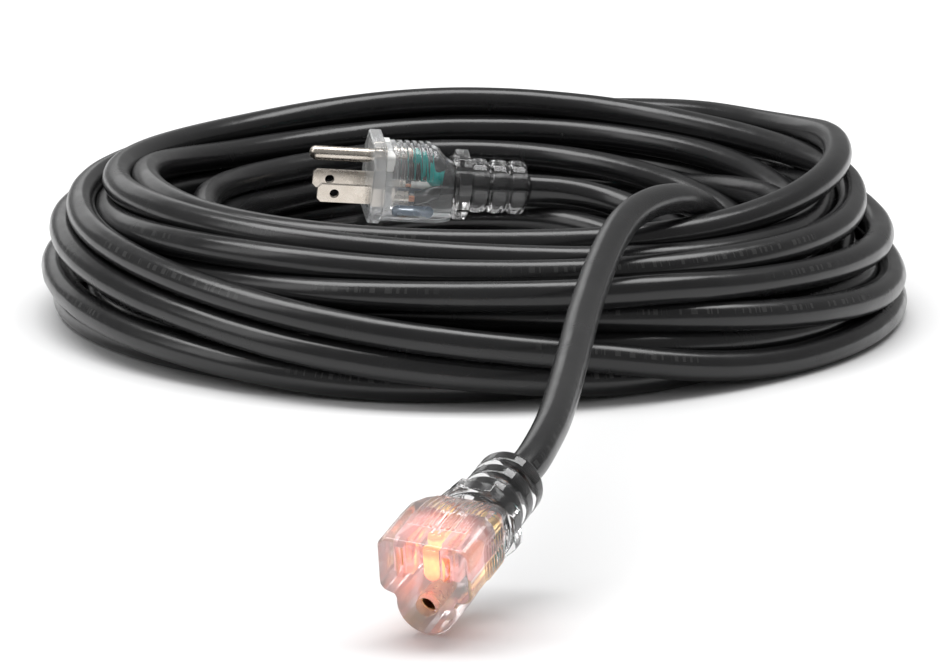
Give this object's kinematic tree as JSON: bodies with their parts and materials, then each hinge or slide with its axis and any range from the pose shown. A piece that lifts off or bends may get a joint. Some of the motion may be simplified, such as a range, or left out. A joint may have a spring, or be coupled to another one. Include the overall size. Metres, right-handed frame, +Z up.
{
  "type": "extension cord",
  "caption": "Heavy black extension cord wound in a flat round coil, with a clear moulded grounded plug inside the coil and a clear connector with a neon lamp in front.",
  "frame": {"origin": "centre of the coil on the floor it lies on", "axes": "+Z up out of the coil, -Y towards the connector, the plug lies inside the coil on the +Y side with its blades towards -X"},
  "size_m": [0.282, 0.5266, 0.0601],
  "materials": {
    "cord_jacket": "smooth glossy black thermoplastic jacket with a slight surface ripple",
    "clear_pvc": "clear flexible PVC overmould, slightly cloudy",
    "lit_clear_pvc": "clear flexible PVC overmould, tinted pink by the neon glow inside",
    "bridge_white": "moulded white plastic",
    "blade_metal": "dull nickel-plated brass",
    "insulation_black": "smooth PVC wire insulation",
    "insulation_white": "smooth PVC wire insulation",
    "insulation_green": "smooth PVC wire insulation",
    "copper_strands": "bunched bare copper strands",
    "contact_brass": "stamped brass",
    "lamp_glass": "small clear glass envelope",
    "lamp_glow": "neon lamp electrodes, glowing orange when live",
    "resistor_tan": "tan lacquered resistor body",
    "lead_metal": "tinned copper lead wire"
  },
  "bodies": {
    "root": {"plug_body": "clear_pvc", "plug_strain_relief": "clear_pvc", "plug_blade_bridge": "bridge_white", "hot_blade": "blade_metal", "neutral_blade": "blade_metal", "ground_pin": "blade_metal", "plug_hot_wire": "insulation_black", "plug_neutral_wire": "insulation_white", "plug_ground_wire": "insulation_green", "plug_hot_strands": "copper_strands", "plug_neutral_strands": "copper_strands", "plug_ground_strands": "copper_strands", "plug_jacket_end": "cord_jacket", "connector_body": "lit_clear_pvc", "connector_strain_relief": "lit_clear_pvc", "hot_contact": "contact_brass", "neutral_contact": "contact_brass", "ground_contact": "contact_brass", "connector_hot_wire": "insulation_black", "connector_neutral_wire": "insulation_white", "connector_ground_wire": "insulation_green", "connector_hot_strands": "copper_strands", "connector_neutral_strands": "copper_strands", "connector_ground_strands": "copper_strands", "lamp_glass": "lamp_glass", "lamp_electrodes": "lamp_glow", "lamp_resistor": "resistor_tan", "lamp_leads": "lead_metal", "connector_jacket_end": "cord_jacket", "cord_coil": "cord_jacket", "plug_lead": "cord_jacket", "connector_lead": "cord_jacket"}
  },
  "joints": []
}
